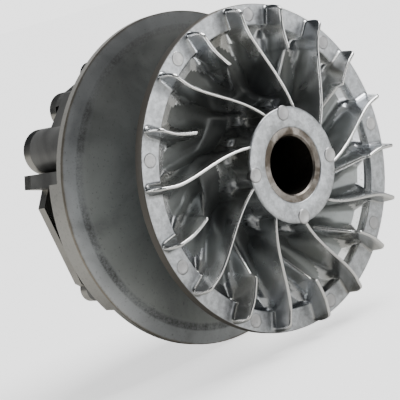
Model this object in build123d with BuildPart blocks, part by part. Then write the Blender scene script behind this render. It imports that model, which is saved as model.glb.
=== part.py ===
"""Primary drive clutch (variator pulley set) of a small off-road vehicle.

Frame: millimetres, the clutch axis is Y and +Z is up. The finned fixed sheave
faces -Y and the cover faces +Y. The origin is on the axis, in the plane of the
fixed sheave's rim land, inside the straight part of the crankshaft bore.
The movable sheave, its towers and the cover slide together towards -Y.
"""
import os
from math import cos, radians, sin, tan

from build123d import *

# Driving dimensions
BELT_ANGLE = 14.0  # slope of each belt face, degrees
RIM_RADIUS = 100.0  # fixed sheave
RIM_THICKNESS = 5.5
LAND_INNER = 87.0
WEB = 5.0
HUB_RADIUS = 35.0
HUB_HEIGHT = 19.0  # hub face in front of the rim land
BACK_RADIUS = 24.0  # flat end of the fixed sheave's belt face
PAD_COUNT = 4  # round cast pads at the edge of the hub face
PAD_ANGLE = -5.65
PAD_PLACE = 31.5
PAD_RADIUS = 4.6
PAD_RISE = 0.7
MARK_PLACE = 93.5  # round ejector marks on the land
MARK_ANGLE = 0.75
MARK_RADIUS = 4.5

MOVABLE_RADIUS = 107.0
MOVABLE_RIM_Y = 68.0  # front edge of the movable rim, clutch open
MOVABLE_FLAT = 33.0  # inner end of the movable belt face
MOVABLE_WEB = 6.0
TRAVEL = 24.0

BLADE_COUNT = 9  # of each kind, long and short
BLADE_THICKNESS = 4.0
LONG_BLADE_ANGLE = 10.9
SHORT_BLADE_ANGLE = -8.95
BLADE_SWEEP = 22.65  # how far a blade leans from rim to hub, degrees
BLADE_TIP_HEIGHT = 13.0
BLADE_HUB_HEIGHT = 17.0

POST_RADIUS = 22.6
SLIDE_RADIUS = 20.0
THREAD_RADIUS = 17.5
NOSE_RADIUS = 14.0
CRANK_BORE = 17.6
CRANK_BORE_END = 6.0
TAPER_END_RADIUS = 14.0
TAPER_END_Y = 60.0
BOLT_HOLE = 8.0
PULLER_THREAD = 9.5
PULLER_THREAD_Y = 112.0
POST_FRONT = 18.5  # end face in front of the rim land
POST_SHOULDER_Y = 24.5
SPIDER_SEAT_Y = 76.0
NOSE_Y = 98.0
POST_END_Y = 144.0

STATION_ANGLE = 135.5  # first roller, tower and flyweight
STATIONS = [STATION_ANGLE + 120.0 * k for k in range(3)]
ROLLER_RADIUS = 10.5
ROLLER_CENTRE = (74.0, 88.0)  # distance from the axis, y
ROLLER_HALF_WIDTH = 6.0
ROLLER_PIN = 5.0
BUSHING_RADIUS = 7.0
WEIGHT_PIVOT = (56.0, 80.0)
WEIGHT_PIN = 4.0
WEIGHT_LENGTH = 38.0
WEIGHT_LEAN = 15.0  # degrees towards the axis
EAR_INNER = 7.5  # spider fork, half gap
EAR_OUTER = 13.0
BUTTON_END = 15.8
TOWER_INNER = 16.2
TOWER_OUTER = 25.0
TOWER_TOP_Y = 124.0
COVER_FACE_Y = 131.0
SEAT_Y = 134.5  # spring seat inside the cover's dome
POCKET_Y = 86.0  # spring seat in the spider
SPRING_RADIUS = 31.0
WIRE = 2.4
COLUMN_FOOT_Y = 58.0
FLANGE_BACK_Y = 83.5  # arcs behind the movable rim
FLANGE_ARC = (29.5, 48.0)  # start after a station and length, degrees
SCREW_SIDE = 20.6
# columns and cover lobes at each station: distance out, to the side, radius, screw's distance
COLUMNS = ((73.6, -15.8, 12.0, 74.0), (78.1, 16.8, 14.6, 82.0))
SCREW_SPOTS = ((COLUMNS[0][3], -SCREW_SIDE), (COLUMNS[1][3], SCREW_SIDE))
BRIDGE = (84.9, 89.5)  # wall between two columns, outside the roller
BRIDGE_SPAN = 34.0
BRIDGE_TOP_Y = 112.0
WAIST = 78.0  # edge of the cover between its two lobes
RIB_ANGLE = 26.8  # axial rib beside the columns
RIB = (76.0, 92.0, 9.0)  # inner end, outer end, thickness
BOSS_ANGLE = 84.0  # balance boss
BOSS = (81.0, 8.5)  # distance out, radius

RUNNING = 0.05  # radial clearance of a shaft that turns or slides
SLOPE = tan(radians(BELT_ANGLE))


def polar(radius, angle):
    """Point in a plane square to the axis."""
    return (radius * cos(radians(angle)), radius * sin(radians(angle)))


def front(height):
    """Plane square to the axis, seen from the fan side, this far in front of the land."""
    return Plane.XZ.offset(height)


def station_plane(angle, side=0.0):
    """Plane through the axis at a station: x runs outwards, y along the clutch axis."""
    outward = Vector(cos(radians(angle)), 0, sin(radians(angle)))
    tangent = Vector(-sin(radians(angle)), 0, cos(radians(angle)))
    return Plane(origin=tangent * side, x_dir=outward, z_dir=tangent)


def fixed_belt_y(radius):
    """Belt face of the fixed sheave."""
    return RIM_THICKNESS + (RIM_RADIUS - radius) * SLOPE


def movable_belt_y(radius):
    """Belt face of the movable sheave, clutch open."""
    return MOVABLE_RIM_Y - (MOVABLE_RADIUS - radius) * SLOPE


def swirl(radius):
    """How far a blade has turned at this radius, relative to its rim end, in degrees."""
    inward = max(0.0, (LAND_INNER + 1.0 - radius) / 51.0)
    return -BLADE_SWEEP * inward**1.75


def turned(*points, mode=Mode.ADD):
    """Solid of revolution about the clutch axis, from (radius, y) points."""
    with BuildSketch(Plane.XY) as profile:
        with BuildLine():
            Polyline(*points, close=True)
        make_face()
    revolve(profile.sketch, axis=Axis.Y, mode=mode)


def tube(inner, outer, y_low, y_high):
    """Plain ring about the clutch axis."""
    turned((inner, y_low), (outer, y_low), (outer, y_high), (inner, y_high))


def on_finger(along, sideways):
    """Point on a flyweight, measured from its pivot along its leaning finger."""
    lean = radians(WEIGHT_LEAN)
    return (
        WEIGHT_PIVOT[0] - along * sin(lean) + sideways * cos(lean),
        WEIGHT_PIVOT[1] + along * cos(lean) + sideways * sin(lean),
    )


def save(builder, name):
    """Label a finished piece and write it."""
    builder.part.label = name
    export_step(builder.part, f"parts/{name}.step")


def blade_ring(first_angle, inner_radius, top_points):
    """Nine swept blades, cut to a turned envelope whose top runs through top_points."""
    radii = [97.0, 88.0, 75.0, 62.0, 50.0, 42.0, 35.0]
    with BuildPart() as ring:
        with BuildSketch(front(-fixed_belt_y(inner_radius))):
            for k in range(BLADE_COUNT):
                start = first_angle + 360.0 / BLADE_COUNT * k
                with BuildLine():
                    path = Spline(*[polar(r, start + swirl(r)) for r in radii])
                    Line(path @ 0, polar(RIM_RADIUS, start))
                trace(line_width=BLADE_THICKNESS)
        extrude(amount=60.0)
        with BuildSketch(Plane.XY):
            with BuildLine():
                Polyline(
                    (inner_radius, fixed_belt_y(inner_radius) - 2.0),
                    (RIM_RADIUS - 0.4, fixed_belt_y(RIM_RADIUS) - 2.0),
                    (RIM_RADIUS - 0.4, 0.0),
                    (RIM_RADIUS - 1.6, -BLADE_TIP_HEIGHT + 3.0),
                    (RIM_RADIUS - 4.0, -BLADE_TIP_HEIGHT),
                    *top_points,
                    close=True,
                )
            make_face()
        revolve(axis=Axis.Y, mode=Mode.INTERSECT)
    return ring.part


os.makedirs("parts", exist_ok=True)

# Fixed sheave: belt face, rim land, hub and cooling fan in one casting
long_blades = blade_ring(
    LONG_BLADE_ANGLE,
    HUB_RADIUS - 1.0,
    [(60.0, -15.5), (HUB_RADIUS - 1.0, -BLADE_HUB_HEIGHT)],
)
short_blades = blade_ring(
    SHORT_BLADE_ANGLE,
    48.0,
    [(71.8, -14.6), (69.8, -9.8), (51.0, 6.0), (48.0, 12.6)],
)
with BuildPart() as fixed_sheave:
    floor_inner = fixed_belt_y(HUB_RADIUS + 1.0) - WEB
    floor_outer = fixed_belt_y(LAND_INNER - 1.5) - WEB
    turned(
        (POST_RADIUS, -HUB_HEIGHT),
        (HUB_RADIUS - 1.2, -HUB_HEIGHT),
        (HUB_RADIUS, -HUB_HEIGHT + 1.2),
        (HUB_RADIUS + 1.0, floor_inner),
        (LAND_INNER - 1.5, floor_outer),
        (LAND_INNER, 0.0),
        (RIM_RADIUS - 0.8, 0.0),
        (RIM_RADIUS, 0.8),
        (RIM_RADIUS, RIM_THICKNESS),
        (BACK_RADIUS, fixed_belt_y(BACK_RADIUS)),
        (POST_RADIUS, fixed_belt_y(BACK_RADIUS)),
    )
    add(long_blades)
    add(short_blades)
    # cast pads on the hub face
    with BuildSketch(front(HUB_HEIGHT - 1.0)):
        for k in range(PAD_COUNT):
            with Locations(polar(PAD_PLACE, PAD_ANGLE + 360.0 / PAD_COUNT * k)):
                Circle(PAD_RADIUS)
    extrude(amount=1.0 + PAD_RISE)
    # shallow ejector marks on the land
    with BuildSketch(front(0.0)):
        for k in range(BLADE_COUNT):
            with Locations(polar(MARK_PLACE, MARK_ANGLE + 360.0 / BLADE_COUNT * k)):
                Circle(MARK_RADIUS)
    extrude(amount=-0.3, mode=Mode.SUBTRACT)
save(fixed_sheave, "fixed_sheave")

# Steel post: crankshaft socket, slide, spider thread and nose
with BuildPart() as post:
    turned(
        (CRANK_BORE + 1.0, -POST_FRONT),
        (POST_RADIUS, -POST_FRONT),
        (POST_RADIUS, POST_SHOULDER_Y),
        (SLIDE_RADIUS, POST_SHOULDER_Y),
        (SLIDE_RADIUS, SPIDER_SEAT_Y),
        (THREAD_RADIUS, SPIDER_SEAT_Y),
        (THREAD_RADIUS, NOSE_Y),
        (NOSE_RADIUS, NOSE_Y),
        (NOSE_RADIUS, POST_END_Y - 1.0),
        (NOSE_RADIUS - 1.0, POST_END_Y),
        (PULLER_THREAD + 1.0, POST_END_Y),
        (PULLER_THREAD, POST_END_Y - 1.0),
        (PULLER_THREAD, PULLER_THREAD_Y),
        (BOLT_HOLE, PULLER_THREAD_Y),
        (BOLT_HOLE, TAPER_END_Y),
        (TAPER_END_RADIUS, TAPER_END_Y),
        (CRANK_BORE, CRANK_BORE_END),
        (CRANK_BORE, -POST_FRONT + 1.0),
    )
save(post, "post")

# Movable sheave: belt face, hub, back flanges and three pairs of towers
with BuildPart() as movable_sheave:
    hub_outer = 30.0
    bushing_seat = 22.3
    hub_top = SPIDER_SEAT_Y - 0.4
    turned(
        (bushing_seat, movable_belt_y(MOVABLE_FLAT)),
        (MOVABLE_FLAT, movable_belt_y(MOVABLE_FLAT)),
        (MOVABLE_RADIUS, MOVABLE_RIM_Y),
        (MOVABLE_RADIUS, MOVABLE_RIM_Y + RIM_THICKNESS),
        (MOVABLE_RADIUS - 8.0, movable_belt_y(MOVABLE_RADIUS - 8.0) + MOVABLE_WEB),
        (hub_outer + 5.0, movable_belt_y(hub_outer + 5.0) + MOVABLE_WEB),
        (hub_outer, movable_belt_y(hub_outer) + MOVABLE_WEB + 5.0),
        (hub_outer, hub_top - 1.0),
        (hub_outer - 1.0, hub_top),
        (bushing_seat, hub_top),
    )
    # raised flange behind the rim, between the towers
    with BuildSketch(front(-(MOVABLE_RIM_Y + 3.0))):
        for station in STATIONS:
            with BuildLine():
                start = station + FLANGE_ARC[0]
                outer = CenterArc((0, 0), MOVABLE_RADIUS - 1.0, start, FLANGE_ARC[1])
                inner = CenterArc((0, 0), MOVABLE_RADIUS - 8.0, start, FLANGE_ARC[1])
                Line(outer @ 0, inner @ 0)
                Line(outer @ 1, inner @ 1)
            make_face()
    extrude(amount=-(FLANGE_BACK_Y - MOVABLE_RIM_Y - 3.0))
    # columns, rib, boss and a lower wall outside the roller, cut off flush with the belt face
    with BuildSketch(front(-COLUMN_FOOT_Y)):
        for station in STATIONS:
            with Locations(Location((0, 0, 0), (0, 0, station))):
                for out, aside, size, _ in COLUMNS:
                    with Locations((out, aside)):
                        Circle(size)
                with Locations((BRIDGE[0] / 2, 0.0)):
                    Rectangle(BRIDGE[0], 2 * TOWER_INNER, mode=Mode.SUBTRACT)
            with Locations(Location((0, 0, 0), (0, 0, station + RIB_ANGLE))):
                with Locations(((RIB[0] + RIB[1]) / 2, 0.0)):
                    Rectangle(RIB[1] - RIB[0], RIB[2])
            with Locations(polar(BOSS[0], station + BOSS_ANGLE)):
                Circle(BOSS[1])
    extrude(amount=-(TOWER_TOP_Y - COLUMN_FOOT_Y))
    with BuildSketch(front(-COLUMN_FOOT_Y)):
        for station in STATIONS:
            with Locations(Location((0, 0, 0), (0, 0, station))):
                with Locations(((BRIDGE[0] + BRIDGE[1]) / 2, 0.0)):
                    Rectangle(BRIDGE[1] - BRIDGE[0], BRIDGE_SPAN)
    extrude(amount=-(BRIDGE_TOP_Y - COLUMN_FOOT_Y))
    turned(
        (MOVABLE_FLAT, movable_belt_y(MOVABLE_FLAT)),
        (MOVABLE_FLAT, 40.0),
        (MOVABLE_RADIUS, 40.0),
        (MOVABLE_RADIUS, MOVABLE_RIM_Y),
        mode=Mode.SUBTRACT,
    )
    for station in STATIONS:
        for side, column in zip((-1, 1), COLUMNS):
            middle = side * (TOWER_INNER + TOWER_OUTER) / 2
            with BuildSketch(station_plane(station, middle)):
                with BuildLine():
                    Polyline(
                        (44.0, 56.0),
                        (49.0, 83.0),
                        (52.0, 88.0),
                        (62.0, 88.0),
                        (64.0, 96.0),
                        (66.0, TOWER_TOP_Y),
                        (column[0] + 3.0, TOWER_TOP_Y),
                        (column[0] + 12.0, 76.0),
                        (column[0] + 17.0, 69.0),
                        close=True,
                    )
                make_face()
            extrude(amount=(TOWER_OUTER - TOWER_INNER) / 2, both=True)
            with BuildSketch(station_plane(station, middle)):
                with Locations(WEIGHT_PIVOT):
                    Circle(WEIGHT_PIN)
            extrude(amount=TOWER_OUTER, both=True, mode=Mode.SUBTRACT)
            # blind tapped hole for the cover screw
            with BuildSketch(front(-TOWER_TOP_Y)):
                with Locations(Location((0, 0, 0), (0, 0, station))):
                    with Locations((column[3], side * SCREW_SIDE)):
                        Circle(3.0)
            extrude(amount=18.0, mode=Mode.SUBTRACT)
save(movable_sheave, "movable_sheave")

with BuildPart() as sheave_bushing:
    tube(SLIDE_RADIUS + RUNNING, 22.3, movable_belt_y(MOVABLE_FLAT) + 0.5, SPIDER_SEAT_Y - 1.0)
save(sheave_bushing, "sheave_bushing")

# Spider: hub, spring pocket and three forked arms, screwed to the post
with BuildPart() as spider:
    turned(
        (THREAD_RADIUS, SPIDER_SEAT_Y + 2.0),
        (34.0, SPIDER_SEAT_Y + 2.0),
        (38.0, SPIDER_SEAT_Y + 6.0),
        (38.0, 96.0),
        (THREAD_RADIUS, 96.0),
    )
    for station in STATIONS:
        for side in (-1, 1):
            middle = side * (EAR_INNER + EAR_OUTER) / 2
            with BuildSketch(station_plane(station, middle)):
                with BuildLine():
                    Polyline(
                        (30.0, 85.0),
                        (66.0, 85.0),
                        (ROLLER_CENTRE[0], ROLLER_CENTRE[1]),
                        (ROLLER_CENTRE[0], ROLLER_CENTRE[1] + 9.5),
                        (60.0, 98.0),
                        (30.0, 98.0),
                        close=True,
                    )
                make_face()
                with Locations(ROLLER_CENTRE):
                    Circle(9.5)
                    Circle(ROLLER_PIN, mode=Mode.SUBTRACT)
            extrude(amount=(EAR_OUTER - EAR_INNER) / 2, both=True)
    pocket_inner = SPRING_RADIUS - WIRE - 1.1
    pocket_outer = SPRING_RADIUS + WIRE + 1.1
    with BuildSketch(front(-POCKET_Y)):
        Circle(pocket_outer)
        Circle(pocket_inner, mode=Mode.SUBTRACT)
    extrude(amount=-20.0, mode=Mode.SUBTRACT)
    with BuildSketch(front(-SPIDER_SEAT_Y)):
        Circle(THREAD_RADIUS)
    extrude(amount=-40.0, mode=Mode.SUBTRACT)
save(spider, "spider")

with BuildPart() as spider_shims:
    tube(THREAD_RADIUS + 0.1, 25.0, SPIDER_SEAT_Y, SPIDER_SEAT_Y + 0.95)
    tube(THREAD_RADIUS + 0.1, 25.0, SPIDER_SEAT_Y + 1.0, SPIDER_SEAT_Y + 1.95)
save(spider_shims, "spider_shims")

with BuildPart() as limiter_spacer:
    tube(NOSE_RADIUS + 0.1, 22.0, NOSE_Y, SEAT_Y - TRAVEL - 0.4)
save(limiter_spacer, "limiter_spacer")

# Pressure spring between the spider and the cover
with BuildPart() as clutch_spring:
    gap = 0.15
    spring_height = SEAT_Y - POCKET_Y - 2 * (WIRE + gap)
    with BuildLine():
        coil = Helix(
            pitch=spring_height / 4.5,
            height=spring_height,
            radius=SPRING_RADIUS,
            center=(0, POCKET_Y + WIRE + gap, 0),
            direction=(0, 1, 0),
        )
    with BuildSketch(Plane(origin=coil @ 0, z_dir=coil % 0)):
        Circle(WIRE)
    sweep(is_frenet=True)
save(clutch_spring, "clutch_spring")

# Rollers in the spider's forks, with what carries them
for number, station in enumerate(STATIONS, start=1):
    with BuildPart() as roller:
        with BuildSketch(station_plane(station)):
            with Locations(ROLLER_CENTRE):
                Circle(ROLLER_RADIUS)
                Circle(BUSHING_RADIUS, mode=Mode.SUBTRACT)
        extrude(amount=ROLLER_HALF_WIDTH, both=True)
        rims = roller.edges().filter_by(GeomType.CIRCLE).group_by(SortBy.RADIUS)[-1]
        chamfer(rims, 0.6)
    save(roller, f"roller_{number}")

    with BuildPart() as roller_bushing:
        with BuildSketch(station_plane(station)):
            with Locations(ROLLER_CENTRE):
                Circle(BUSHING_RADIUS)
                Circle(ROLLER_PIN + RUNNING, mode=Mode.SUBTRACT)
        extrude(amount=ROLLER_HALF_WIDTH, both=True)
    save(roller_bushing, f"roller_bushing_{number}")

    with BuildPart() as roller_pin:
        with BuildSketch(station_plane(station)):
            with Locations(ROLLER_CENTRE):
                Circle(ROLLER_PIN)
        extrude(amount=BUTTON_END - 0.8, both=True)
    save(roller_pin, f"roller_pin_{number}")

    with BuildPart() as roller_washers:
        for side in (-1, 1):
            with BuildSketch(station_plane(station, side * (ROLLER_HALF_WIDTH + 0.9))):
                with Locations(ROLLER_CENTRE):
                    Circle(8.5)
                    Circle(ROLLER_PIN + RUNNING, mode=Mode.SUBTRACT)
            extrude(amount=0.5, both=True)
    save(roller_washers, f"roller_washers_{number}")

    with BuildPart() as slide_buttons:
        for side in (-1, 1):
            with BuildSketch(station_plane(station, side * (EAR_OUTER + BUTTON_END) / 2)):
                with Locations(ROLLER_CENTRE):
                    Circle(9.0)
                    Circle(ROLLER_PIN, mode=Mode.SUBTRACT)
            extrude(amount=(BUTTON_END - EAR_OUTER) / 2, both=True)
    save(slide_buttons, f"slide_buttons_{number}")

# Flyweights, hinged to the movable sheave between its towers
for number, station in enumerate(STATIONS, start=1):
    with BuildPart() as flyweight:
        with BuildSketch(station_plane(station)):
            with BuildLine():
                back = Line(on_finger(0.0, -5.5), on_finger(WEIGHT_LENGTH - 6.0, -5.0))
                tip = ThreePointArc(
                    back @ 1, on_finger(WEIGHT_LENGTH, -0.5), on_finger(WEIGHT_LENGTH - 7.0, 3.4)
                )
                ThreePointArc(tip @ 1, on_finger(16.0, 2.4), on_finger(4.0, 5.0))
                Line(on_finger(4.0, 5.0), on_finger(0.0, 5.0))
                Line(on_finger(0.0, 5.0), back @ 0)
            make_face()
            with Locations(WEIGHT_PIVOT):
                Circle(7.5)
                Circle(WEIGHT_PIN + RUNNING, mode=Mode.SUBTRACT)
        extrude(amount=5.0, both=True)
    save(flyweight, f"flyweight_{number}")

    with BuildPart() as flyweight_pin:
        with BuildSketch(station_plane(station)):
            with Locations(WEIGHT_PIVOT):
                Circle(WEIGHT_PIN)
        extrude(amount=TOWER_OUTER + 6.5, dir=station_plane(station).z_dir)
        with BuildSketch(station_plane(station, -TOWER_OUTER)):
            with Locations(WEIGHT_PIVOT):
                Circle(WEIGHT_PIN)
        extrude(amount=TOWER_OUTER)
        with BuildSketch(station_plane(station, -TOWER_OUTER)):
            with Locations(WEIGHT_PIVOT):
                RegularPolygon(6.5, 6)
        extrude(amount=-4.0)
    save(flyweight_pin, f"flyweight_pin_{number}")

with BuildPart() as flyweight_nuts:
    for station in STATIONS:
        with BuildSketch(station_plane(station, TOWER_OUTER)):
            with Locations(WEIGHT_PIVOT):
                RegularPolygon(6.5, 6)
                Circle(WEIGHT_PIN, mode=Mode.SUBTRACT)
        extrude(amount=5.0)
save(flyweight_nuts, "flyweight_nuts")

# Cover: plate with twin lobes over each pair of towers, and a spring dome
with BuildPart() as cover:
    with BuildSketch(front(-TOWER_TOP_Y)):
        with BuildLine():
            corners = []
            for station in STATIONS:
                corners += [polar(84.0, station + 38.0), polar(86.0, station + 76.0)]
                corners += [polar(84.0, station + 104.0)]
            Polyline(*corners, close=True)
        make_face()
        for station in STATIONS:
            with Locations(Location((0, 0, 0), (0, 0, station))):
                for out, aside, size, _ in COLUMNS:
                    with Locations((out, aside)):
                        Circle(size)
                with Locations((WAIST / 2, 0.0)):
                    Rectangle(WAIST, BRIDGE_SPAN)
            with Locations(polar(BOSS[0], station + BOSS_ANGLE)):
                Circle(BOSS[1])
            with Locations(Location((0, 0, 0), (0, 0, station + RIB_ANGLE))):
                with Locations((RIB[1] - 8.0, 0.0)):
                    Rectangle(16.0, RIB[2])
        # lightening windows between the stations
        for station in STATIONS:
            with Locations(Location((0, 0, 0), (0, 0, station + 64.0))):
                with Locations((61.0, 0.0)):
                    SlotOverall(46.0, 15.0, rotation=90.0, mode=Mode.SUBTRACT)
    extrude(amount=-(COVER_FACE_Y - TOWER_TOP_Y))
    turned(
        (17.0, SEAT_Y - 3.0),
        (17.0, SEAT_Y + 6.5),
        (24.0, SEAT_Y + 6.5),
        (27.0, SEAT_Y + 4.5),
        (37.0, SEAT_Y + 4.5),
        (44.0, COVER_FACE_Y),
        (44.0, TOWER_TOP_Y),
        (17.0, TOWER_TOP_Y),
    )
    with BuildSketch(front(-TOWER_TOP_Y)):
        Circle(SPRING_RADIUS + WIRE + 1.6)
    extrude(amount=-(SEAT_Y - TOWER_TOP_Y), mode=Mode.SUBTRACT)
    for station in STATIONS:
        # clearance holes and counterbores for the screws
        with BuildSketch(front(-TOWER_TOP_Y)):
            with Locations(Location((0, 0, 0), (0, 0, station))):
                with Locations(*SCREW_SPOTS):
                    Circle(3.0)
        extrude(amount=-10.0, mode=Mode.SUBTRACT)
        with BuildSketch(front(-COVER_FACE_Y)):
            with Locations(Location((0, 0, 0), (0, 0, station))):
                with Locations(*SCREW_SPOTS):
                    Circle(6.5)
        extrude(amount=3.0, mode=Mode.SUBTRACT)
save(cover, "cover")

with BuildPart() as cover_bushing:
    tube(NOSE_RADIUS + RUNNING, 17.0, SEAT_Y, SEAT_Y + 6.0)
save(cover_bushing, "cover_bushing")

with BuildPart() as cover_screws:
    seat = COVER_FACE_Y - 3.0
    for station in STATIONS:
        for spot in SCREW_SPOTS:
            for radius, start, length in ((6.0, seat, 4.0), (3.0, seat - 16.0, 16.0)):
                with BuildSketch(front(-start)):
                    with Locations(Location((0, 0, 0), (0, 0, station))):
                        with Locations(spot):
                            Circle(radius)
                extrude(amount=-length)
            with BuildSketch(front(-(seat + 4.0))):
                with Locations(Location((0, 0, 0), (0, 0, station))):
                    with Locations(spot):
                        RegularPolygon(3.2, 6)
            extrude(amount=2.2, mode=Mode.SUBTRACT)
save(cover_screws, "cover_screws")
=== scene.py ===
from math import cos, hypot, pi, radians, sin, sqrt, tan

import bpy
from mathutils import Matrix, Vector


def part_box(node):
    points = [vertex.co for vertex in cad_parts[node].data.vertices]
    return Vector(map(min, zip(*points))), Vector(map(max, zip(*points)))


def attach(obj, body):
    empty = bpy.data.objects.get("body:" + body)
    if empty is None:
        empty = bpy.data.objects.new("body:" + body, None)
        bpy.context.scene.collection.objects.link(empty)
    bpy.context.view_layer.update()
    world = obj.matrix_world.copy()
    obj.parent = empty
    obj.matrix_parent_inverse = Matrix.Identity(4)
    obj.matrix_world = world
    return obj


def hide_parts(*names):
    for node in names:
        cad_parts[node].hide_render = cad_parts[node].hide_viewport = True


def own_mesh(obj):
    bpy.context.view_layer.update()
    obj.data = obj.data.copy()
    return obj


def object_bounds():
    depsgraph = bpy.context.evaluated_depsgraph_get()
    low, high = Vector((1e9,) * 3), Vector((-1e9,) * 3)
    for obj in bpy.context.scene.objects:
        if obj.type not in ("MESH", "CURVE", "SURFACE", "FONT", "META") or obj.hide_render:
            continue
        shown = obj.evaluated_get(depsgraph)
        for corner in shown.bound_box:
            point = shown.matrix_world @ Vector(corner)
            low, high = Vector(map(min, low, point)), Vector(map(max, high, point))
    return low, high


# Primary drive clutch. The clutch axis is Y, the finned fixed sheave faces -Y and
# +Z is up. Sizes are in millimetres and become metres in at() or by MM, angles are in
# degrees, and heights on the fan are counted from its rim land towards -Y.

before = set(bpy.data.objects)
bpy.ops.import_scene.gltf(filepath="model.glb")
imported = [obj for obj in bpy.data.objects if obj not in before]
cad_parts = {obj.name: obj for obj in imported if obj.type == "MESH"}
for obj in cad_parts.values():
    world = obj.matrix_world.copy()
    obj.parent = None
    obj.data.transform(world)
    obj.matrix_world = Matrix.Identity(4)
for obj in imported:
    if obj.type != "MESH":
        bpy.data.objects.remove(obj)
cad_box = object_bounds()

MM = 0.001
FIXED = "fixed_half"

# Fixed sheave, as in the CAD
SLOPE = tan(radians(14.0))
RIM_RADIUS = 100.0
RIM_THICKNESS = 5.5
LAND_INNER = 87.0
WEB = 5.0
HUB_RADIUS = 35.0
HUB_HEIGHT = 19.0
HUB_BORE = 22.6
BACK_RADIUS = 24.0

# Blades: long and short ones take turns round the fan
BLADE_PAIRS = 9
BLADE_PITCH = 360.0 / BLADE_PAIRS
LONG_ANGLE = 10.9
SHORT_ANGLE = -8.95
BLADE_TIP_HEIGHT = 13.2
BLADE_HUB_HEIGHT = 18.5
BLADE_SWEEP = 22.65
SWEEP_START = 88.0  # radius inside which a blade bends
SWEEP_SPAN = 51.0  # length over which it reaches its full sweep
CREST = 1.1  # half of a blade's thickness at its top
DRAFT = 0.10
NOSE_START = 93.6  # where a blade's top begins to round off at its outer end
NOSE_NARROW = 96.6  # where it begins to narrow
NOSE_END = 99.35
SHORT_RISE = 0.07  # rise of a short blade's top for each millimetre inwards

# The low ridge that follows a short blade inside its notch
RIDGE_START = 69.5
RIDGE_HEIGHT = 9.5
RIDGE_FALL = 0.85  # fall for each millimetre inwards
RIDGE_DROP = 8.0  # further drop near the hub
RIDGE_HUMP = 0.65  # how broad and smooth the ridge is

# Pockets between the blades
STEP_FOOT = 84.6
HUB_FOOT = 36.2
HOLLOW_RADIUS = 17.8
HOLLOW_CENTRE = 54.0
HOLLOW_HEIGHT = 2.5
HOLLOW_SHIFT = 7.0  # how much further out the hollow starts beside a long blade
SOFTEN = 3.0  # height over which the floor blends into the hollow
LAND_FILLET = 3.0
POCKET_FILLET = 6.5  # added to the fillet inside the pockets

# Round marks: cast pads on the hub and ejector marks on the rim land
PAD_COUNT = 4
PAD_ANGLE = -5.65
PAD_PLACE = 31.5
PAD_RADIUS = 4.6
MARK_ANGLE = 0.75
MARK_PLACE = 93.5
MARK_RADIUS = 4.4

# Pressure spring and the shift that shortens it
COIL_RADIUS = 31.0
WIRE_RADIUS = 2.4
COIL_TURNS = 6.0
COIL_STEPS = 48  # to a turn
WIRE_SIDES = 12

# Green marker dabs: ((radius, angle, y), size)
INK = (((94.5, 106.0, -9.0), 5.5), ((86.0, 84.0, -6.0), 5.0), ((89.5, 63.0, -7.0), 5.0))

# Colours of stains and wear, and of painted light and shade
GREEN = (0.02, 0.16, 0.05)
# Near-white crest colour: partly rubbed wear, partly a painted highlight
WEAR_AND_HIGHLIGHT = (0.90, 0.90, 0.89)
RUST = (0.10, 0.065, 0.03)
# Painted shade laid over the upper part of the belt faces
PAINTED_TOP_SHADE = (0.06, 0.06, 0.052)
SMEAR = (0.07, 0.075, 0.08)
SOOT = (0.04, 0.04, 0.04)
BELT_DUST = (0.03, 0.028, 0.025)


def at(radius, angle, y):
    """Point in metres from cylindrical millimetres and degrees."""
    turn = radians(angle)
    return Vector((radius * cos(turn), y, radius * sin(turn))) * MM


def smooth(low, high, value):
    """0 below low, 1 above high, smooth between."""
    share = min(1.0, max(0.0, (value - low) / (high - low)))
    return share * share * (3.0 - 2.0 * share)


# ---------------------------------------------------------------- materials


def put(tree, kind, inputs=None, **settings):
    """Adds a node, with its settings, and with values or links on its inputs."""
    made = tree.nodes.new(kind)
    for key, value in settings.items():
        setattr(made, key, value)
    for key, value in (inputs or {}).items():
        if isinstance(value, bpy.types.NodeSocket):
            tree.links.new(value, made.inputs[key])
        else:
            made.inputs[key].default_value = value
    return made


def calc(tree, operation, first, second=0.0):
    """Output of a maths node."""
    made = put(tree, "ShaderNodeMath", {0: first, 1: second}, operation=operation)
    return made.outputs[0]


def remap(tree, value, low, high, new_low=0.0, new_high=1.0):
    """A value's place between low and high, clamped, as new_low to new_high."""
    made = put(
        tree,
        "ShaderNodeMapRange",
        {0: value, 1: low, 2: high, 3: new_low, 4: new_high},
        interpolation_type="SMOOTHSTEP",
    )
    return made.outputs[0]


def noise(tree, place, scale, detail=4.0, roughness=0.55, distortion=0.0):
    """Noise in object space; scale is waves to the metre."""
    inputs = {
        "Vector": place,
        "Scale": scale,
        "Detail": detail,
        "Roughness": roughness,
        "Distortion": distortion,
    }
    return put(tree, "ShaderNodeTexNoise", inputs).outputs[0]


def blend(tree, share, first, second):
    """Mix of two colours."""
    made = tree.nodes.new("ShaderNodeMix")
    made.data_type = "RGBA"
    for key, value in ((0, share), (6, first), (7, second)):
        if isinstance(value, bpy.types.NodeSocket):
            tree.links.new(value, made.inputs[key])
        elif key == 0:
            made.inputs[key].default_value = value
        else:
            made.inputs[key].default_value = (*value, 1.0)
    return made.outputs[2]


def scaled(colour, factor):
    """A lighter or darker colour."""
    return tuple(factor * part for part in colour)


def start(name):
    """A new material: its tree, shader and object coordinates."""
    material = bpy.data.materials.new(name)
    material.use_nodes = True
    tree = material.node_tree
    shader = tree.nodes["Principled BSDF"]
    place = put(tree, "ShaderNodeTexCoord").outputs["Object"]
    return material, tree, shader, place


def from_axis(tree, place):
    """Distance from the clutch axis and place along it, in metres."""
    parts = put(tree, "ShaderNodeSeparateXYZ", {0: place}).outputs
    across = calc(tree, "MULTIPLY", parts["X"], parts["X"])
    upward = calc(tree, "MULTIPLY", parts["Z"], parts["Z"])
    radius = calc(tree, "SQRT", calc(tree, "ADD", across, upward))
    return radius, parts["Y"]


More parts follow.
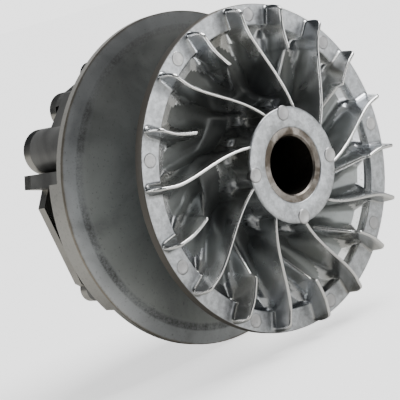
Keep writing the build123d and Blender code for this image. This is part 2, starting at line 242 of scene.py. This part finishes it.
def relief(tree, shader, heights):
    """Bump from (height socket, strength, distance in metres) layers."""
    normal = None
    for height, strength, distance in heights:
        inputs = {"Height": height, "Strength": strength, "Distance": distance}
        if normal is not None:
            inputs["Normal"] = normal
        normal = put(tree, "ShaderNodeBump", inputs).outputs[0]
    tree.links.new(normal, shader.inputs["Normal"])


def spots(tree, place, scale, size, share):
    """Scattered round spots: 1 inside them, 0 outside; share sets how many there are."""
    cells = put(tree, "ShaderNodeTexVoronoi", {"Vector": place, "Scale": scale})
    inside = remap(tree, cells.outputs["Distance"], size, size * 0.6, 0.0, 1.0)
    chosen = put(tree, "ShaderNodeSeparateColor", {0: cells.outputs["Color"]}).outputs[0]
    return calc(tree, "MULTIPLY", inside, calc(tree, "LESS_THAN", chosen, share))


def dab(tree, place, centre, radius, rough):
    """A daub with a ragged edge round a point in metres."""
    apart = put(tree, "ShaderNodeVectorMath", {0: place, 1: centre}, operation="DISTANCE")
    ragged = calc(tree, "MULTIPLY", calc(tree, "SUBTRACT", rough, 0.5), radius * 1.6)
    return remap(tree, calc(tree, "ADD", apart.outputs["Value"], ragged), radius, radius * 0.8, 0.0, 1.0)


def cast_alloy(name, light, dark, gloss, waviness=0.05, edge=None, dabs=()):
    """Die-cast aluminium: soft tone, patchy gloss, fine grain, faint rust spots, dark
    specks and painted shade in hollows.

    The mesh's own "cavity" value paints shade into hollows, "matte" makes faces mottled
    and duller, and the edge-wear value makes crests near white, partly rubbed wear and
    partly a painted highlight. edge is (radius in millimetres, colour) of a dull stained
    rim. dabs are (point in metres, radius in metres, colour).
    """
    material, tree, shader, place = start(name)
    clouds = noise(tree, place, 18.0, 4.0, 0.55, 0.3)
    flecks = noise(tree, place, 500.0, 3.0, 0.65)
    colour = blend(tree, remap(tree, clouds, 0.3, 0.7), dark, light)
    matte = put(tree, "ShaderNodeAttribute", attribute_name="matte").outputs["Fac"]
    mottle = remap(tree, noise(tree, place, 240.0, 5.0, 0.7), 0.35, 0.65)
    skin = blend(tree, mottle, scaled(light, 0.68), scaled(light, 1.15))
    colour = blend(tree, calc(tree, "MULTIPLY", matte, 0.85), colour, skin)
    speck = remap(tree, flecks, 0.58, 0.72, 0.0, 0.4)
    colour = blend(tree, speck, colour, scaled(dark, 0.4))
    wear_and_highlight = put(tree, "ShaderNodeAttribute", attribute_name="wear_and_highlight").outputs["Fac"]
    # Crests lightened to near white: partly rubbed wear, partly a painted highlight.
    colour = blend(tree, calc(tree, "MULTIPLY", wear_and_highlight, 0.9), colour, WEAR_AND_HIGHLIGHT)
    cavity = put(tree, "ShaderNodeAttribute", attribute_name="cavity").outputs["Fac"]
    # Painted shade: hollows darkened by the mesh's cavity value.
    hollow_shade = calc(tree, "MULTIPLY", cavity, 0.5)
    colour = blend(tree, hollow_shade, colour, scaled(dark, 0.3))
    rust = spots(tree, place, 90.0, 0.04, 0.12)
    colour = blend(tree, calc(tree, "MULTIPLY", rust, 0.45), colour, RUST)
    low, high = gloss
    rough = remap(tree, noise(tree, place, 70.0, 5.0, 0.6), 0.3, 0.7, low, high)
    rough = calc(tree, "ADD", rough, calc(tree, "MULTIPLY", matte, 0.16))
    metal = calc(tree, "SUBTRACT", 1.0, calc(tree, "MULTIPLY", rust, 0.3))
    if edge:
        radius, _ = from_axis(tree, place)
        rim = remap(tree, radius, (edge[0] - 0.3) * MM, (edge[0] + 0.2) * MM)
        stained = blend(tree, clouds, edge[1], scaled(edge[1], 0.6))
        colour = blend(tree, calc(tree, "MULTIPLY", rim, 0.9), colour, stained)
        rough = calc(tree, "ADD", rough, calc(tree, "MULTIPLY", rim, 0.25))
        metal = calc(tree, "SUBTRACT", metal, calc(tree, "MULTIPLY", rim, 0.5))
    for centre, size, ink in dabs:
        daub = dab(tree, place, centre, size, noise(tree, place, 260.0, 3.0, 0.6))
        colour = blend(tree, calc(tree, "MULTIPLY", daub, 0.85), colour, ink)
        metal = calc(tree, "SUBTRACT", metal, calc(tree, "MULTIPLY", daub, 0.5))
    tree.links.new(colour, shader.inputs["Base Color"])
    tree.links.new(rough, shader.inputs["Roughness"])
    tree.links.new(metal, shader.inputs["Metallic"])
    grain = noise(tree, place, 1100.0, 2.0)
    waves = noise(tree, place, 60.0, 2.0)
    relief(tree, shader, [(waves, waviness, 0.001), (grain, 0.10, 0.0002)])
    return material


def turned_metal(name, bands, gloss, dust, back_y, back, flange):
    """Lathe-turned belt face of a casting: rings, stains, smears, a dusty band and
    painted shade that darkens its top.

    bands are (radius in millimetres, colour); dust is a dark speckled band's
    (inner, outer) radius. Behind back_y it is a raw casting in the colour back,
    or flange beyond the dusty band.
    """
    material, tree, shader, place = start(name)
    radius, along = from_axis(tree, place)
    stains = noise(tree, place, 24.0, 6.0, 0.6, 0.8)
    wobble = calc(tree, "MULTIPLY", calc(tree, "SUBTRACT", stains, 0.5), 0.003)
    span = bands[-1][0] * MM
    share = calc(tree, "DIVIDE", calc(tree, "ADD", radius, wobble), span)
    ramp = put(tree, "ShaderNodeValToRGB", {0: share})
    stops = ramp.color_ramp.elements
    while len(stops) < len(bands):
        stops.new(0.5)
    for stop, (place_mm, colour) in zip(stops, bands):
        stop.position = place_mm / bands[-1][0]
        stop.color = (*colour, 1.0)
    colour = ramp.outputs[0]
    upward = put(tree, "ShaderNodeSeparateXYZ", {0: place}).outputs["Z"]
    upward = calc(tree, "ADD", upward, calc(tree, "MULTIPLY", wobble, 6.0))
    # Painted shade: the face grows darker towards the top.
    colour = blend(tree, remap(tree, upward, 0.0, 0.10, 0.0, 0.75), colour, PAINTED_TOP_SHADE)
    colour = blend(tree, remap(tree, stains, 0.35, 0.8, 0.0, 0.5), colour, SMEAR)
    flecks = noise(tree, place, 600.0, 3.0, 0.7)
    colour = blend(tree, remap(tree, flecks, 0.58, 0.72, 0.0, 0.4), colour, SOOT)
    inside = remap(tree, radius, (dust[0] - 1.5) * MM, (dust[0] + 1.0) * MM)
    outside = remap(tree, radius, (dust[1] - 1.0) * MM, (dust[1] + 0.5) * MM, 1.0, 0.0)
    grit = remap(tree, noise(tree, place, 700.0, 5.0, 0.75), 0.36, 0.62, 0.35, 0.8)
    band = calc(tree, "MULTIPLY", calc(tree, "MULTIPLY", inside, outside), grit)
    band = calc(tree, "MULTIPLY", band, remap(tree, stains, 0.3, 0.6, 0.35, 0.9))
    colour = blend(tree, band, colour, BELT_DUST)
    cast = blend(tree, remap(tree, stains, 0.35, 0.7), back, scaled(back, 0.6))
    outer = remap(tree, radius, (dust[1] - 0.5) * MM, (dust[1] + 0.5) * MM)
    edge = blend(tree, remap(tree, flecks, 0.5, 0.8, 0.0, 0.6), flange, back)
    cast = blend(tree, outer, cast, edge)
    behind = remap(tree, along, back_y * MM, (back_y + 0.6) * MM)
    colour = blend(tree, behind, colour, cast)
    tree.links.new(colour, shader.inputs["Base Color"])
    low, high = gloss
    rough = remap(tree, stains, 0.3, 0.7, high, low)
    rough = calc(tree, "ADD", rough, calc(tree, "MULTIPLY", band, 0.25))
    rough = calc(tree, "ADD", rough, calc(tree, "MULTIPLY", behind, 0.1))
    tree.links.new(rough, shader.inputs["Roughness"])
    dull = calc(tree, "MULTIPLY", calc(tree, "MULTIPLY", behind, outer), 0.15)
    tree.links.new(calc(tree, "SUBTRACT", 0.62, dull), shader.inputs["Metallic"])
    rings = noise(tree, put(tree, "ShaderNodeCombineXYZ", {0: radius}).outputs[0], 2500.0, 2.0)
    grain = noise(tree, place, 700.0, 3.0)
    relief(tree, shader, [(rings, 0.10, 0.0002), (grain, 0.10, 0.0002)])
    return material


def plain_metal(name, light, dark, gloss):
    """Turned or plated steel, bronze or wire, with fine grain, specks and stains."""
    material, tree, shader, place = start(name)
    shader.inputs["Metallic"].default_value = 1.0
    stains = noise(tree, place, 90.0, 5.0, 0.65, 0.5)
    flecks = noise(tree, place, 900.0, 3.0, 0.65)
    colour = blend(tree, remap(tree, stains, 0.35, 0.65), light, dark)
    colour = blend(tree, remap(tree, flecks, 0.58, 0.7, 0.0, 0.5), colour, scaled(dark, 0.3))
    tree.links.new(colour, shader.inputs["Base Color"])
    low, high = gloss
    tree.links.new(remap(tree, stains, 0.3, 0.7, low, high), shader.inputs["Roughness"])
    relief(tree, shader, [(noise(tree, place, 300.0, 4.0), 0.12, 0.0002)])
    return material


def moulded(name, light, dark, gloss):
    """Moulded plastic with a faint grain and rub marks."""
    material, tree, shader, place = start(name)
    stains = noise(tree, place, 120.0, 5.0, 0.6)
    colour = blend(tree, remap(tree, stains, 0.35, 0.7), light, dark)
    tree.links.new(colour, shader.inputs["Base Color"])
    tree.links.new(remap(tree, stains, 0.3, 0.7, *gloss), shader.inputs["Roughness"])
    relief(tree, shader, [(noise(tree, place, 1500.0, 2.0), 0.1, 0.0002)])
    return material


fan_alloy = cast_alloy(
    "fan_alloy",
    (0.53, 0.55, 0.575),
    (0.46, 0.458, 0.438),
    (0.23, 0.28),
    0.003,
    edge=(99.6, (0.10, 0.085, 0.065)),
    dabs=[(at(*spot), size * MM, GREEN) for spot, size in INK],
)
pad_alloy = cast_alloy("pad_alloy", (0.58, 0.58, 0.58), (0.42, 0.42, 0.43), (0.38, 0.50))
cover_alloy = cast_alloy("cover_alloy", (0.46, 0.45, 0.42), (0.30, 0.29, 0.27), (0.24, 0.38))
spider_alloy = cast_alloy("spider_alloy", (0.50, 0.50, 0.50), (0.34, 0.34, 0.35), (0.34, 0.48))
sheave_face = turned_metal(
    "sheave_face",
    # From the rim inwards the bands grow darker: painted shade deep in the groove between the sheaves.
    [
        (20.0, (0.10, 0.105, 0.105)),
        (45.0, (0.17, 0.18, 0.18)),
        (70.0, (0.30, 0.32, 0.315)),
        (92.0, (0.42, 0.44, 0.43)),
        (97.0, (0.56, 0.585, 0.60)),
        (105.8, (0.70, 0.72, 0.74)),
        (106.8, (0.36, 0.32, 0.26)),
    ],
    gloss=(0.30, 0.42),
    dust=(94.0, 98.5),
    back_y=69.0,
    back=(0.20, 0.20, 0.195),
    flange=(0.46, 0.45, 0.42),
)
post_steel = plain_metal("post_steel", (0.25, 0.23, 0.21), (0.09, 0.075, 0.06), (0.26, 0.45))
zinc_steel = plain_metal("zinc_steel", (0.66, 0.66, 0.63), (0.44, 0.44, 0.42), (0.25, 0.42))
weight_steel = plain_metal("weight_steel", (0.42, 0.42, 0.43), (0.25, 0.25, 0.26), (0.25, 0.42))
spring_wire = plain_metal("spring_wire", (0.32, 0.34, 0.37), (0.16, 0.17, 0.18), (0.28, 0.42))
bronze = plain_metal("bronze", (0.66, 0.48, 0.27), (0.42, 0.30, 0.17), (0.3, 0.45))
composite = moulded("composite", (0.10, 0.09, 0.08), (0.05, 0.05, 0.045), (0.35, 0.55))
nylon = moulded("nylon", (0.80, 0.77, 0.68), (0.62, 0.58, 0.49), (0.38, 0.55))

# ---------------------------------------------------------------- mesh helpers


def faces_between(count, sides, closed=False):
    """Faces between neighbouring rings, and from the last to the first when closed."""
    faces = []
    for i in range(count if closed else count - 1):
        following = (i + 1) % count
        for j in range(sides):
            beside = (j + 1) % sides
            near = (i * sides + j, i * sides + beside)
            faces.append((*near, following * sides + beside, following * sides + j))
    return faces


def ringed(name, rings, layers):
    """Mesh through closed rings of equal length, the last joined to the first.

    layers holds a value for each point of each ring under each attribute's name.
    """
    points = [point for ring in rings for point in ring]
    mesh = bpy.data.meshes.new(name)
    mesh.from_pydata(points, [], faces_between(len(rings), len(rings[0]), closed=True))
    for title, values in layers.items():
        layer = mesh.attributes.new(title, "FLOAT", "POINT")
        layer.data.foreach_set("value", [value for ring in values for value in ring])
    return finish_mesh(name, mesh, 85.0)


def finish_mesh(name, mesh, sharp):
    """Links the mesh with smooth shading up to the sharp angle, in degrees."""
    mesh.validate()
    mesh.shade_smooth()
    mesh.set_sharp_from_angle(angle=radians(sharp))
    piece = bpy.data.objects.new(name, mesh)
    bpy.context.scene.collection.objects.link(piece)
    return piece


def dress(piece, body, material):
    """Rides the piece on a body and gives it its slot and material."""
    piece.data.materials.clear()
    piece.data.materials.append(material)
    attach(piece, body)
    return piece


# ---------------------------------------------------------------- finned fixed sheave


def belt_y(radius):
    """Belt face of the fixed sheave."""
    return RIM_THICKNESS + (RIM_RADIUS - radius) * SLOPE


def swirl(radius):
    """How far a blade has turned at this radius from its rim end, in degrees."""
    inward = max(0.0, (SWEEP_START - max(radius, HUB_RADIUS)) / SWEEP_SPAN)
    return -BLADE_SWEEP * inward**1.75


def blade_nose(radius, first, sharpness):
    """1 along a blade, falling to 0 round its outer end from the first radius."""
    past = max(0.0, (radius - first) / (NOSE_END - first))
    return max(0.0, 1.0 - past**sharpness) ** 0.5


def long_top(radius):
    """Height of a long blade's top edge above the rim land."""
    inward = (NOSE_START - min(radius, NOSE_START)) / (NOSE_START - HUB_RADIUS)
    return BLADE_TIP_HEIGHT + (BLADE_HUB_HEIGHT - BLADE_TIP_HEIGHT) * inward


def short_top(radius):
    """Height of a short blade's top edge: full outside, a notch, then a falling ridge."""
    full = BLADE_TIP_HEIGHT + SHORT_RISE * (NOSE_START - min(radius, NOSE_START))
    drop = RIDGE_DROP * (1.0 - smooth(40.0, 54.0, radius))
    ridge = RIDGE_HEIGHT - RIDGE_FALL * (RIDGE_START - radius) - drop
    return ridge + (full - ridge) * smooth(RIDGE_START + 0.8, RIDGE_START + 2.6, radius)


def fan_floor(radius, across):
    """Height between the blades: land, step, pocket floor and the hub's hollow.

    across is -1 and 1 at the long blades and 0 half-way between them.
    """
    step = min(1.0, max(0.0, (radius - STEP_FOOT) / (LAND_INNER - STEP_FOOT))) ** 1.8
    floor = (WEB - belt_y(radius)) * (1.0 - step)
    inward = HOLLOW_CENTRE - max(HUB_FOOT, radius - HOLLOW_SHIFT * across * across)
    if inward < 0.0:
        return floor
    hollow = HOLLOW_HEIGHT - sqrt(HOLLOW_RADIUS**2 - inward * inward)
    close = max(0.0, 1.0 - abs(floor - hollow) / SOFTEN)
    return max(floor, hollow) + SOFTEN * close * close / 4.0


def section(radius, height, half_gap, hump):
    """(sideways, height) from a crest to the middle of the gap.

    hump runs from 0 for a thin blade to 1 for a broad smooth ridge.
    """
    slim = blade_nose(radius, NOSE_NARROW, 2.0)
    wide = half_gap * pi / 180.0 * radius
    fillet = LAND_FILLET + POCKET_FILLET * smooth(-1.0, 12.0, LAND_INNER - radius)
    fillet = min(fillet, 0.62 * (height - CREST)) * (0.25 + 0.75 * slim)
    foot = (CREST + DRAFT * (height - CREST - fillet)) * slim
    fillet = min(fillet, max(0.3, 0.72 * (wide - foot)))
    points = []
    for turn in (0.0, 22.0, 44.0, 64.0, 82.0):
        turn = radians(turn)
        points.append((CREST * slim * sin(turn), height - CREST * (1.0 - cos(turn))))
    for share in (0.0, 0.33, 0.67, 1.0):
        side = CREST * slim + (foot - CREST * slim) * share
        points.append((side, height - CREST + (fillet - height + CREST) * share))
    for k in range(1, 10):
        turn = radians(10.0 * k)
        points.append((foot + fillet * (1.0 - cos(turn)), fillet * (1.0 - sin(turn))))
    edge = foot + fillet
    for share in (0.14, 0.32, 0.52, 0.76, 1.0):
        points.append((edge + (wide - edge) * share, 0.0))
    last = len(points) - 1
    rounded = []
    for index, (side, up) in enumerate(points):
        share = index / last
        swell = height * 0.5 * (1.0 + cos(pi * share))
        rounded.append((side + (wide * share - side) * hump, up + (swell - up) * hump))
    return rounded


def fan_ring(radius, level=None):
    """Ring of the sheave round all 18 blades, and each point's cavity, matte and edge-wear values.

    Without a level the ring follows the fan's front; with one it is flat there.
    """
    ring, hollow, matte, wear_and_highlight = [], [], [], []
    gap = SHORT_ANGLE + BLADE_PITCH - LONG_ANGLE
    for k in range(BLADE_PAIRS):
        for long in (True, False):
            middle = (LONG_ANGLE if long else SHORT_ANGLE + BLADE_PITCH) + BLADE_PITCH * k
            crest = long_top(radius) if long else short_top(radius)
            nominal = max(6.0, crest - fan_floor(radius, 1.0 if long else 0.0))
            fading = smooth(RIDGE_START - 14.0, RIDGE_START + 1.0, radius)
            hump = 0.0 if long else RIDGE_HUMP - RIDGE_HUMP * fading
            before, after = (BLADE_PITCH - gap, gap) if long else (gap, BLADE_PITCH - gap)
            left = section(radius, nominal, before / 2.0, hump)
            right = section(radius, nominal, after / 2.0, hump)
            line = [(-side, up) for side, up in reversed(left[1:-1])] + right
            for side, up in line:
                turned = side / radius * 180.0 / pi
                across = 1.0 - ((middle + turned - LONG_ANGLE) % BLADE_PITCH) / (BLADE_PITCH / 2.0)
                low = fan_floor(radius, across)
                top = low + max(0.0, crest - low) * blade_nose(radius, NOSE_START, 2.6)
                height = low + up * (top - low) / nominal
                if level is None:
                    # Cavity grows with depth below the blade top; the alloy paints it as shade.
                    depth = (top - height) / 30.0
                    hollow.append(min(1.0, max(0.0, depth * smooth(20.0, 60.0, 100.0 - radius))))
                    matte.append(1.0 if low > -0.3 and up < 0.5 else 0.0)
                    # Crest tops get near-white colour: partly rubbed wear, partly a painted highlight.
                    wear_and_highlight.append((1.0 - hump) * smooth(nominal - 2.0, nominal - 0.5, up))
                else:
                    on_wall = HUB_RADIUS <= radius < HUB_FOOT
                    height = max(level, height) if on_wall else level
                    hollow.append(0.0)
                    wear_and_highlight.append(0.0)
                    matte.append(smooth(HUB_HEIGHT - 1.2, HUB_HEIGHT - 0.5, level))
                ring.append(at(radius, middle + swirl(radius) + turned, -height))
    return ring, hollow, matte, wear_and_highlight


def fan_path():
    """Radii of the rings over the fan's front, from the rim inwards."""
    path = [99.6, 99.45, 99.3, 99.15, 98.95, 98.7, 98.4, 98.0, 97.5, 97.0, 96.4, 95.6]
    path += [94.5 - 1.1 * k for k in range(6)]
    path += [88.4 - 0.4 * k for k in range(16)]
    path += [81.4 - 0.8 * k for k in range(9)]
    path += [74.2 - 0.45 * k for k in range(10)]
    path += [69.0 - 1.0 * k for k in range(17)]
    path += [52.4 - 0.65 * k for k in range(25)]
    return path


def finned_sheave():
    """The whole fixed sheave as one smooth casting."""
    back = BACK_RADIUS
    levels = [(100.0, -5.1), (100.0, -3.0), (100.0, -0.9), (99.92, -0.45), (99.78, -0.15)]
    rings = [fan_ring(radius, level) for radius, level in levels]
    rings += [fan_ring(radius) for radius in fan_path()]
    low = fan_floor(HUB_FOOT, 0.0)
    for k in range(1, 8):
        share = k / 7.0
        rings.append(fan_ring(HUB_FOOT - 1.2 * share**0.6, low + (HUB_HEIGHT - 1.0 - low) * share))
    levels = [(35.0, 18.35), (34.75, 18.7), (34.3, 18.93), (33.6, 19.0), (30.0, 19.0)]
    levels += [(23.4, 19.0), (22.9, 18.85), (HUB_BORE, 18.4)]
    levels += [(HUB_BORE, 0.0), (HUB_BORE, -belt_y(back)), (back, -belt_y(back))]
    levels += [(radius, -belt_y(radius)) for radius in (45.0, 72.0, 98.5)]
    levels += [(99.6, -belt_y(99.2)), (99.9, -5.45)]
    rings += [fan_ring(radius, level) for radius, level in levels]
    points, cavities, mattes, wear_and_highlight = zip(*rings)
    layers = {"cavity": cavities, "matte": mattes, "wear_and_highlight": wear_and_highlight}
    return ringed("finned_sheave", points, layers)


fan = dress(finned_sheave(), FIXED, fan_alloy)
fan.data.materials.append(sheave_face)
for face in fan.data.polygons:
    reach = hypot(face.center.x, face.center.z)
    if face.center.y > (RIM_THICKNESS + 0.05) * MM and reach > BACK_RADIUS * MM:
        face.material_index = 1
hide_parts("fixed_sheave")


def disc_piece(name, place, angle, height, radius, rise, skirt):
    """Round cast boss with a soft edge and a shallow dish, standing on a flat face.

    place and angle say where; it rises above height and its skirt is buried below it.
    """
    outline = [(0.0, rise * 0.75), (radius * 0.55, rise * 0.75), (radius * 0.7, rise)]
    outline += [(radius * 0.86, rise), (radius * 0.96, rise * 0.7), (radius, 0.0)]
    outline += [(radius * 0.97, -skirt * 0.4), (radius * 0.84, -skirt * 0.75), (radius * 0.5, -skirt)]
    outline += [(0.0, -skirt)]
    turn = radians(angle)
    centre = Vector((place * cos(turn), 0.0, place * sin(turn)))
    steps = 40
    points = []
    for reach, up in outline:
        for j in range(steps):
            around = 2.0 * pi * j / steps
            point = centre + Vector((reach * cos(around), -(height + up), reach * sin(around)))
            points.append(point * MM)
    mesh = bpy.data.meshes.new(name)
    mesh.from_pydata(points, [], faces_between(len(outline), steps))
    # The buried skirt gets full cavity, which the alloy paints as shade.
    layer = mesh.attributes.new("cavity", "FLOAT", "POINT")
    low = [1.0 if up <= 0.0 else 0.0 for _, up in outline]
    layer.data.foreach_set("value", [value for value in low for _ in range(steps)])
    return finish_mesh(name, mesh, 50.0)


for k in range(PAD_COUNT):
    angle = PAD_ANGLE + 360.0 / PAD_COUNT * k
    pad = disc_piece(f"hub_pad_{k + 1}", PAD_PLACE, angle, HUB_HEIGHT, PAD_RADIUS, 0.6, 5.0)
    dress(pad, FIXED, pad_alloy)
for k in range(BLADE_PAIRS):
    angle = MARK_ANGLE + BLADE_PITCH * k
    mark = disc_piece(f"ejector_mark_{k + 1}", MARK_PLACE, angle, 0.0, MARK_RADIUS, 0.35, 0.6)
    dress(mark, FIXED, pad_alloy)

# ---------------------------------------------------------------- coil spring


def coil_spring():
    """Closed-end pressure spring between the spider and the cover."""
    low, high = (corner.y / MM for corner in map(Vector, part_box("clutch_spring")))
    length = high - low - 2.0 * WIRE_RADIUS
    steps = int(COIL_TURNS * COIL_STEPS)
    centres = []
    for i in range(steps + 1):
        share = i / steps
        lift = smooth(0.0, 1.0, share) * 0.35 + share * 0.65
        centres.append(at(COIL_RADIUS, 360.0 * COIL_TURNS * share, low + WIRE_RADIUS + length * lift))
    rings = []
    for i, centre in enumerate(centres):
        ahead = centres[min(i + 1, len(centres) - 1)] - centres[max(i - 1, 0)]
        ahead.normalize()
        outward = Vector((centre.x, 0.0, centre.z)).normalized()
        upward = ahead.cross(outward).normalized()
        ring = []
        for j in range(WIRE_SIDES):
            around = 2 * pi * j / WIRE_SIDES
            ring.append(centre + (outward * cos(around) + upward * sin(around)) * WIRE_RADIUS * MM)
        rings.append(ring)
    points = [point for ring in rings for point in ring]
    faces = faces_between(len(rings), WIRE_SIDES)
    faces.append(tuple(range(WIRE_SIDES)))
    faces.append(tuple(len(points) - WIRE_SIDES + j for j in range(WIRE_SIDES)))
    mesh = bpy.data.meshes.new("pressure_spring")
    mesh.from_pydata(points, [], faces)
    return finish_mesh("pressure_spring", mesh, 50.0)


spring = dress(coil_spring(), FIXED, spring_wire)
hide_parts("clutch_spring")
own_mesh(spring)

# ---------------------------------------------------------------- CAD nodes that stay

finishes = {
    "post": post_steel,
    "spider": spider_alloy,
    "spider_shims": zinc_steel,
    "limiter_spacer": zinc_steel,
    "movable_sheave": sheave_face,
    "sheave_bushing": bronze,
    "cover": cover_alloy,
    "cover_bushing": bronze,
    "cover_screws": zinc_steel,
    "flyweight_nuts": zinc_steel,
}
for k in (1, 2, 3):  # the three stations round the clutch
    finishes[f"roller_{k}"] = composite
    finishes[f"roller_bushing_{k}"] = bronze
    finishes[f"roller_pin_{k}"] = zinc_steel
    finishes[f"roller_washers_{k}"] = zinc_steel
    finishes[f"slide_buttons_{k}"] = nylon
    finishes[f"flyweight_{k}"] = weight_steel
    finishes[f"flyweight_pin_{k}"] = zinc_steel
for name, material in finishes.items():
    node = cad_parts[name]
    for slot in node.material_slots:
        slot.material = material
    if not node.material_slots:
        node.data.materials.append(material)
    edges = node.modifiers.new("edges", "BEVEL")
    edges.width = 0.5 * MM
    edges.segments = 2
    edges.limit_method = "ANGLE"
    edges.angle_limit = radians(35.0)
    edges.harden_normals = True

# ---------------------------------------------------------------- floor, light, camera

FLOOR_Z = cad_box[0][2] - 0.0005


def pale_floor():
    """Wide pale floor that the rims stand on."""
    reach = 60.0
    corners = [(-reach, -reach), (reach, -reach), (reach, reach), (-reach, reach)]
    mesh = bpy.data.meshes.new("floor")
    mesh.from_pydata([(x, y, FLOOR_Z) for x, y in corners], [], [(0, 1, 2, 3)])
    floor = bpy.data.objects.new("floor", mesh)
    bpy.context.scene.collection.objects.link(floor)
    material, tree, shader, place = start("floor_paint")
    shader.inputs["Roughness"].default_value = 0.95
    shader.inputs["Specular IOR Level"].default_value = 0.1
    tone = remap(tree, noise(tree, place, 3.0, 2.0), 0.3, 0.7)
    pale = blend(tree, tone, (0.88, 0.88, 0.88), (0.86, 0.86, 0.86))
    seen = put(tree, "ShaderNodeLightPath").outputs["Is Camera Ray"]
    tree.links.new(blend(tree, seen, (0.60, 0.59, 0.56), pale), shader.inputs["Base Color"])
    shader.inputs["Emission Color"].default_value = (1.0, 1.0, 1.0, 1.0)
    tree.links.new(calc(tree, "MULTIPLY", seen, 1.3), shader.inputs["Emission Strength"])
    mesh.materials.append(material)
    return floor


CAMERA_AZIMUTH = -42.51
CAMERA_ELEVATION = 7.96
CAMERA_DISTANCE = 0.9
CAMERA_ROLL = -16.17
CAMERA_AIM = Vector((-0.0155, 0.0555, -0.0117))
LENS = 133.65


def direction(azimuth, elevation):
    """Unit vector towards a place seen from the object; azimuth 0 is -Y."""
    turn, lift = radians(azimuth), radians(elevation)
    return Vector((sin(turn) * cos(lift), -cos(turn) * cos(lift), sin(lift)))


def look(thing, position, aim, roll=0.0):
    """Places a camera or light looking at a point."""
    back = (position - aim).normalized()
    side = Vector((0, 0, 1)).cross(back).normalized()
    upward = back.cross(side)
    turn = Matrix((side, upward, back)).transposed() @ Matrix.Rotation(radians(roll), 3, "Z")
    thing.matrix_world = Matrix.Translation(position) @ turn.to_4x4()


camera_data = bpy.data.cameras.new("camera")
camera_data.lens = LENS
camera_data.sensor_width = 36.0
camera = bpy.data.objects.new("camera", camera_data)
bpy.context.scene.collection.objects.link(camera)
eye = direction(CAMERA_AZIMUTH, CAMERA_ELEVATION) * CAMERA_DISTANCE
look(camera, eye, CAMERA_AIM, CAMERA_ROLL)
bpy.context.scene.camera = camera

floor = pale_floor()


def panel(name, azimuth, elevation, distance, width, height, glow, spared=(floor,)):
    """Soft rectangular light; glow is its radiance and spared are things it leaves unlit."""
    data = bpy.data.lights.new(name, "AREA")
    data.shape = "RECTANGLE"
    data.size = width
    data.size_y = height
    data.energy = glow * pi * width * height
    light = bpy.data.objects.new(name, data)
    light.visible_camera = False
    bpy.context.scene.collection.objects.link(light)
    unlit = bpy.data.collections.new(f"unlit_by_{name}")
    for thing in spared:
        unlit.objects.link(thing)
    for entry in unlit.collection_objects:
        entry.light_linking.link_state = "EXCLUDE"
    light.light_linking.receiver_collection = unlit
    look(light, direction(azimuth, elevation) * distance, Vector((0.0, 0.03, 0.0)))


# azimuth, elevation, distance, width, height, glow
panel("key", 30.0, -1.0, 0.75, 0.44, 0.44, 3.0)
panel("low_key", 8.0, -6.0, 1.2, 0.4, 0.5, 1.2)
panel("fill", 78.0, 4.0, 1.5, 1.0, 1.0, 0.35)
panel("left_streak", -122.0, 20.0, 1.3, 0.10, 0.9, 6.0)
panel("window", -104.0, 34.0, 1.3, 0.5, 0.45, 3.0)
panel("groove_light", -64.0, -1.0, 0.5, 0.18, 0.16, 3.6, (floor, fan))
panel("right_streak", 132.0, 15.0, 1.4, 0.2, 0.6, 4.0)
panel("top_streak", -10.0, 62.0, 1.2, 0.6, 0.16, 4.0)

sun_data = bpy.data.lights.new("sun", "SUN")
sun_data.energy = 4.5
sun_data.angle = radians(40.0)
sun = bpy.data.objects.new("sun", sun_data)
bpy.context.scene.collection.objects.link(sun)
look(sun, direction(72.0, 60.0) * 3.0, Vector((0.0, 0.0, 0.0)))

world = bpy.data.worlds.new("studio")
bpy.context.scene.world = world
world.use_nodes = True
sky = world.node_tree
ray = put(sky, "ShaderNodeLightPath").outputs["Is Camera Ray"]
backdrop = blend(sky, ray, (0.045, 0.05, 0.055), (2.5, 2.5, 2.5))
sky.links.new(backdrop, sky.nodes["Background"].inputs["Color"])
